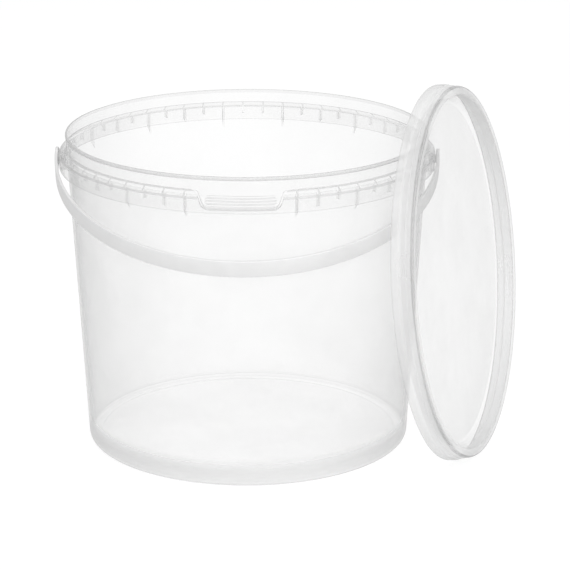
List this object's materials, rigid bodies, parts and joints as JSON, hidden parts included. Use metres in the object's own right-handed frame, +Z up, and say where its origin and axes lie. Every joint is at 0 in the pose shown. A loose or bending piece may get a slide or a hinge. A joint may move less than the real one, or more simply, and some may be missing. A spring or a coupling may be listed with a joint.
{
  "type": "bucket",
  "caption": "Translucent plastic snap-lid pail with a ribbed rim flange, a pry pocket and a swinging bow handle, its round lid off and leaning beside it.",
  "frame": {"origin": "on the pail's axis at the plane it stands on", "axes": "+Z up, the pry pocket faces -Y, the handle's hinge runs along X, the lid leans on the +X side"},
  "size_m": [0.2846, 0.2518, 0.2234],
  "materials": {
    "pail_plastic": "natural translucent polypropylene, injection moulded, satin",
    "handle_plastic": "white polyethylene, moulded, satin",
    "lid_plastic": "natural translucent polypropylene, injection moulded, fine matt grain"
  },
  "bodies": {
    "bucket": {"bucket_body": "pail_plastic", "lid": "lid_plastic"},
    "bail": {"bail_handle": "handle_plastic"}
  },
  "joints": [
    {"name": "bail_swing", "type": "hinge", "parent": "bucket", "child": "bail", "pos_m": [0, 0, 0.1742], "axis": [-1, 0, 0], "range_deg": [0, 217.4]}
  ]
}
